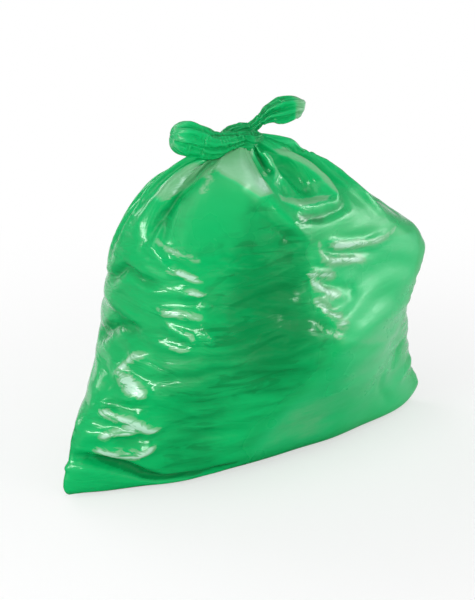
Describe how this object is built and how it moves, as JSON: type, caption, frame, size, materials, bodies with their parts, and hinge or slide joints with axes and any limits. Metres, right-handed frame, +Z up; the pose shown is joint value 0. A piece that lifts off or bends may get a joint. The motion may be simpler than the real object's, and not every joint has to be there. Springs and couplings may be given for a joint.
{
  "type": "filled bin bag",
  "caption": "Filled refuse sack of thin green film on its sealed base, with two pointed corners, a gathered crown and a half knot that leaves two short ears.",
  "frame": {"origin": "on the floor, in the middle of the flat patch that the sack stands on, under the neck", "axes": "+X along the sealed base towards the lifted corner, +Y to the back, +Z up"},
  "size_m": [0.7163, 0.3492, 0.5971],
  "materials": {
    "film": "glossy thin polyethylene film, lightly see-through where air lies behind it"
  },
  "bodies": {
    "root": {"bag": "film"}
  },
  "joints": []
}
